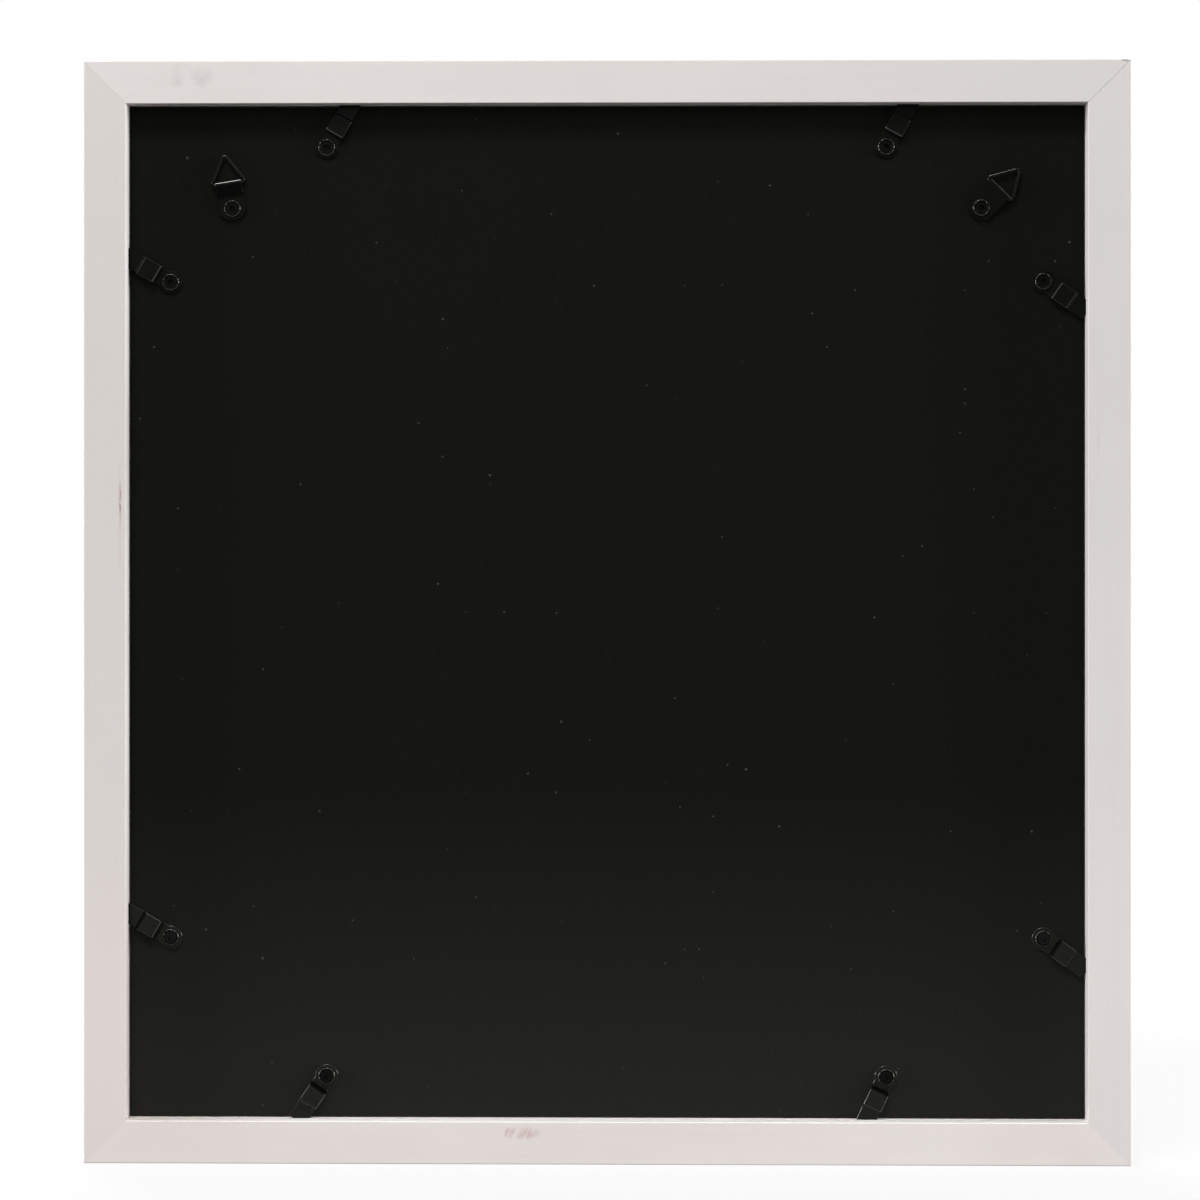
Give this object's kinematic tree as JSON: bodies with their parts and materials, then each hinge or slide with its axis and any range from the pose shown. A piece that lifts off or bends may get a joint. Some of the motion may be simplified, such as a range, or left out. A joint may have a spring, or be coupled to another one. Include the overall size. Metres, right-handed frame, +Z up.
{
  "type": "multi-aperture photo frame",
  "caption": "White wooden photo frame with a windowed mount behind glass; spring turn clips hold the backboard in the rails' groove and strap hangers with triangle rings carry it.",
  "frame": {"origin": "middle of the bottom edge, half way through the frame's depth", "axes": "+Z up, the glass and mount face -Y, the backboard and hangers face +Y; left and right in names are those seen from behind, so left is +X"},
  "size_m": [0.422, 0.0232, 0.445],
  "materials": {
    "white_paint": "satin off-white paint",
    "clear_glass": "polished",
    "mount_card": "matte white with a white bevel",
    "insert_paper": "matte plain paper",
    "black_board": "matte black facing",
    "black_lacquer": "glossy black lacquer",
    "plain_steel": "bare"
  },
  "bodies": {
    "frame": {"frame_rail_top": "white_paint", "frame_rail_right": "white_paint", "frame_rail_bottom": "white_paint", "frame_rail_left": "white_paint", "v_nail_top_left_1": "plain_steel", "v_nail_top_left_2": "plain_steel", "v_nail_top_right_1": "plain_steel", "v_nail_top_right_2": "plain_steel", "v_nail_bottom_right_1": "plain_steel", "v_nail_bottom_right_2": "plain_steel", "v_nail_bottom_left_1": "plain_steel", "v_nail_bottom_left_2": "plain_steel", "glazing": "clear_glass", "mount_board": "mount_card", "insert_sheet": "insert_paper", "backboard": "black_board", "clip_rivet_top_left": "black_lacquer", "clip_rivet_top_right": "black_lacquer", "clip_rivet_right_upper": "black_lacquer", "clip_rivet_right_lower": "black_lacquer", "clip_rivet_bottom_right": "black_lacquer", "clip_rivet_bottom_left": "black_lacquer", "clip_rivet_left_lower": "black_lacquer", "clip_rivet_left_upper": "black_lacquer", "hanger_rivet_left": "black_lacquer", "hanger_rivet_right": "black_lacquer"},
    "clip_top_left": {"turn_clip_top_left": "black_lacquer"},
    "clip_top_right": {"turn_clip_top_right": "black_lacquer"},
    "clip_right_upper": {"turn_clip_right_upper": "black_lacquer"},
    "clip_right_lower": {"turn_clip_right_lower": "black_lacquer"},
    "clip_bottom_right": {"turn_clip_bottom_right": "black_lacquer"},
    "clip_bottom_left": {"turn_clip_bottom_left": "black_lacquer"},
    "clip_left_lower": {"turn_clip_left_lower": "black_lacquer"},
    "clip_left_upper": {"turn_clip_left_upper": "black_lacquer"},
    "hanger_left": {"hanger_strap_left": "black_lacquer"},
    "ring_left": {"hanger_ring_left": "black_lacquer"},
    "hanger_right": {"hanger_strap_right": "black_lacquer"},
    "ring_right": {"hanger_ring_right": "black_lacquer"}
  },
  "joints": [
    {"name": "clip_turn_top_left", "type": "hinge", "parent": "frame", "child": "clip_top_left", "pos_m": [0.1133, 0.0016, 0.4108], "axis": [0, 1, 0], "continuous": true},
    {"name": "clip_turn_top_right", "type": "hinge", "parent": "frame", "child": "clip_top_right", "pos_m": [-0.1133, 0.0016, 0.4108], "axis": [0, 1, 0], "continuous": true},
    {"name": "clip_turn_right_upper", "type": "hinge", "parent": "frame", "child": "clip_right_upper", "pos_m": [-0.1768, 0.0016, 0.3562], "axis": [0, 1, 0], "continuous": true},
    {"name": "clip_turn_right_lower", "type": "hinge", "parent": "frame", "child": "clip_right_lower", "pos_m": [-0.1768, 0.0016, 0.0903], "axis": [0, 1, 0], "continuous": true},
    {"name": "clip_turn_bottom_right", "type": "hinge", "parent": "frame", "child": "clip_bottom_right", "pos_m": [-0.1133, 0.0016, 0.0342], "axis": [0, 1, 0], "continuous": true},
    {"name": "clip_turn_bottom_left", "type": "hinge", "parent": "frame", "child": "clip_bottom_left", "pos_m": [0.1133, 0.0016, 0.0342], "axis": [0, 1, 0], "continuous": true},
    {"name": "clip_turn_left_lower", "type": "hinge", "parent": "frame", "child": "clip_left_lower", "pos_m": [0.1768, 0.0016, 0.0903], "axis": [0, 1, 0], "continuous": true},
    {"name": "clip_turn_left_upper", "type": "hinge", "parent": "frame", "child": "clip_left_upper", "pos_m": [0.1768, 0.0016, 0.3562], "axis": [0, 1, 0], "continuous": true},
    {"name": "hanger_turn_left", "type": "hinge", "parent": "frame", "child": "hanger_left", "pos_m": [0.1516, 0.0016, 0.386], "axis": [0, 1, 0], "continuous": true},
    {"name": "ring_swing_left", "type": "hinge", "parent": "hanger_left", "child": "ring_left", "pos_m": [0.1532, 0.0033, 0.39607], "axis": [-0.9877, 0, 0.1564], "range_deg": [-4, 135]},
    {"name": "hanger_turn_right", "type": "hinge", "parent": "frame", "child": "hanger_right", "pos_m": [-0.1516, 0.0016, 0.386], "axis": [0, 1, 0], "continuous": true},
    {"name": "ring_swing_right", "type": "hinge", "parent": "hanger_right", "child": "ring_right", "pos_m": [-0.15881, 0.0033, 0.39321], "axis": [-0.7071, 0, -0.7071], "range_deg": [-4, 135]}
  ]
}
